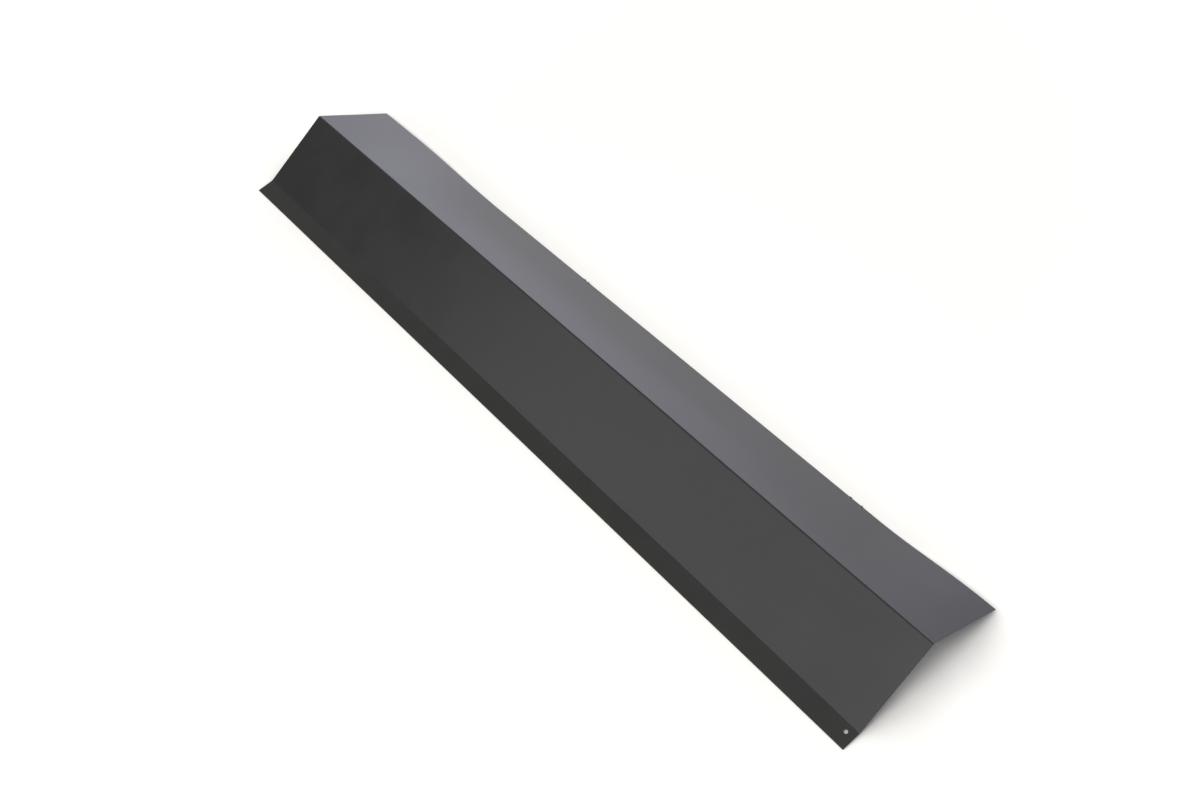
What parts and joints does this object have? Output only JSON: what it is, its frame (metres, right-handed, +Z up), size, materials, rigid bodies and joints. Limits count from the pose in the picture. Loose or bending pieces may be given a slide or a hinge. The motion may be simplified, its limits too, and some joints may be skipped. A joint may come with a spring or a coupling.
{
  "type": "drip edge",
  "caption": "Folded steel drip edge for the eaves of a pitched roof: a roof flange, a face and an outward kick along its foot, powder-coated in satin anthracite.",
  "frame": {"origin": "middle of the part's box, on the floor that it lies on", "axes": "+X along the length, towards the end with the hanging hole; +Y across, towards the back edge of the roof flange; +Z up"},
  "size_m": [1, 0.1974, 0.054],
  "materials": {
    "powder_coated_steel": "satin"
  },
  "bodies": {
    "root": {"drip_edge": "powder_coated_steel"}
  },
  "joints": []
}
